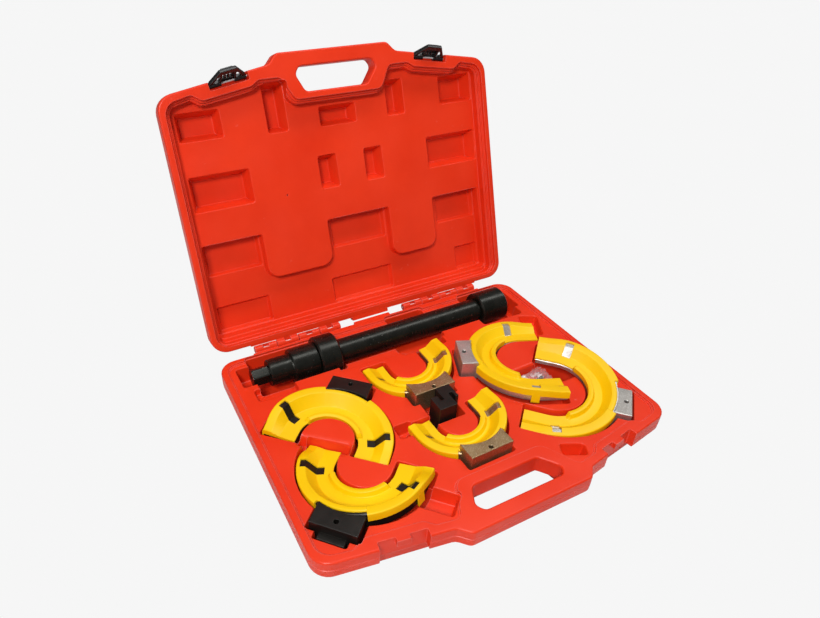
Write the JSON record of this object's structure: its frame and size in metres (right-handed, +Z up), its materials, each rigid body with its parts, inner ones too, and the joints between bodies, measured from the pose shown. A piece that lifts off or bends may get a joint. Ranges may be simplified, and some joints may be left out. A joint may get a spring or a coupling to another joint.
{
  "type": "coil spring compressor kit",
  "caption": "Open hinged carrying case holding a telescopic screw spindle, pairs of forked spring yokes with clip-on protectors, a drive adapter and a bag of small parts.",
  "frame": {"origin": "centre of the case floor under the base, on the ground", "axes": "+X to the right along the hinge, +Y towards the hinge, +Z up"},
  "size_m": [0.52, 0.5817, 0.4365],
  "materials": {
    "red_shell": "satin blow-moulded, fine grain",
    "guard_yellow": "satin moulded",
    "latch_black": "semi-gloss",
    "black_steel": "oiled black oxide",
    "bronze_steel": "bronze lacquer",
    "silver_steel": "sandblasted silver lacquer",
    "dark_steel": "oiled, machined",
    "bright_steel": "machined",
    "pin_steel": "drawn rod",
    "nut_bronze": "machined",
    "clear_bag": "thin clear film"
  },
  "bodies": {
    "base": {"base_shell": "red_shell", "hinge_pins": "pin_steel"},
    "lid": {"lid_shell": "red_shell", "latch_pin_left": "pin_steel", "latch_pin_right": "pin_steel"},
    "left_latch": {"latch_left": "latch_black"},
    "right_latch": {"latch_right": "latch_black"},
    "spindle": {"bearing_housing": "black_steel", "upper_collar": "black_steel", "outer_tube": "black_steel", "thrust_races": "bright_steel", "thrust_balls": "bright_steel", "retaining_ring": "dark_steel", "guide_screw": "dark_steel"},
    "screw": {"drive_screw": "dark_steel"},
    "sleeve": {"inner_sleeve": "dark_steel", "screw_nut": "nut_bronze", "lower_collar": "black_steel", "end_cap": "bright_steel", "sleeve_pins": "dark_steel"},
    "adapter": {"drive_adapter": "black_steel"},
    "bag": {"parts_bag": "clear_bag", "spare_screws": "dark_steel"},
    "small_rear_yoke": {"small_yoke_rear": "bronze_steel", "small_guard_rear": "guard_yellow"},
    "small_front_yoke": {"small_yoke_front": "bronze_steel", "small_guard_front": "guard_yellow"},
    "medium_rear_yoke": {"medium_yoke_rear": "black_steel", "medium_guard_rear": "guard_yellow"},
    "medium_front_yoke": {"medium_yoke_front": "black_steel", "medium_guard_front": "guard_yellow"},
    "large_left_yoke": {"large_yoke_left": "silver_steel", "large_guard_left": "guard_yellow"},
    "large_right_yoke": {"large_yoke_right": "silver_steel", "large_guard_right": "guard_yellow"}
  },
  "joints": [
    {"name": "lid_hinge", "type": "hinge", "parent": "base", "child": "lid", "pos_m": [0, 0.205, 0.048], "axis": [-1, 0, 0], "range_deg": [-109, 0]},
    {"name": "left_latch_swing", "type": "hinge", "parent": "lid", "child": "left_latch", "pos_m": [-0.15912, 0.33794, 0.40644], "axis": [-0.9872, -0.0518, -0.1505], "range_deg": [-30, 50]},
    {"name": "right_latch_swing", "type": "hinge", "parent": "lid", "child": "right_latch", "pos_m": [0.15912, 0.33794, 0.40644], "axis": [-0.9872, 0.0518, 0.1505], "range_deg": [-30, 50]},
    {"name": "spindle_lift", "type": "slide", "parent": "base", "child": "spindle", "axis": [0, 0, 1], "range_m": [0, 0.12]},
    {"name": "screw_spin", "type": "hinge", "parent": "spindle", "child": "screw", "pos_m": [-0.184, 0.155, 0.04], "axis": [1, 0, 0], "range_deg": [0, 1081]},
    {"name": "sleeve_slide", "type": "slide", "parent": "spindle", "child": "sleeve", "axis": [1, 0, 0], "range_m": [0, 0.012]},
    {"name": "small_rear_yoke_lift", "type": "slide", "parent": "base", "child": "small_rear_yoke", "axis": [0, 0, 1], "range_m": [0, 0.12]},
    {"name": "small_front_yoke_lift", "type": "slide", "parent": "base", "child": "small_front_yoke", "axis": [0, 0, 1], "range_m": [0, 0.12]},
    {"name": "medium_rear_yoke_lift", "type": "slide", "parent": "base", "child": "medium_rear_yoke", "axis": [0, 0, 1], "range_m": [0, 0.12]},
    {"name": "medium_front_yoke_lift", "type": "slide", "parent": "base", "child": "medium_front_yoke", "axis": [0, 0, 1], "range_m": [0, 0.12]},
    {"name": "large_left_yoke_lift", "type": "slide", "parent": "base", "child": "large_left_yoke", "axis": [0, 0, 1], "range_m": [0, 0.12]},
    {"name": "large_right_yoke_lift", "type": "slide", "parent": "base", "child": "large_right_yoke", "axis": [0, 0, 1], "range_m": [0, 0.12]},
    {"name": "adapter_lift", "type": "slide", "parent": "base", "child": "adapter", "axis": [0, 0, 1], "range_m": [0, 0.12]},
    {"name": "bag_lift", "type": "slide", "parent": "base", "child": "bag", "axis": [0, 0, 1], "range_m": [0, 0.12]}
  ],
  "couplings": [
    {"joint": "screw_spin", "follows": "sleeve_slide", "rad_per_m": 1570.8}
  ]
}
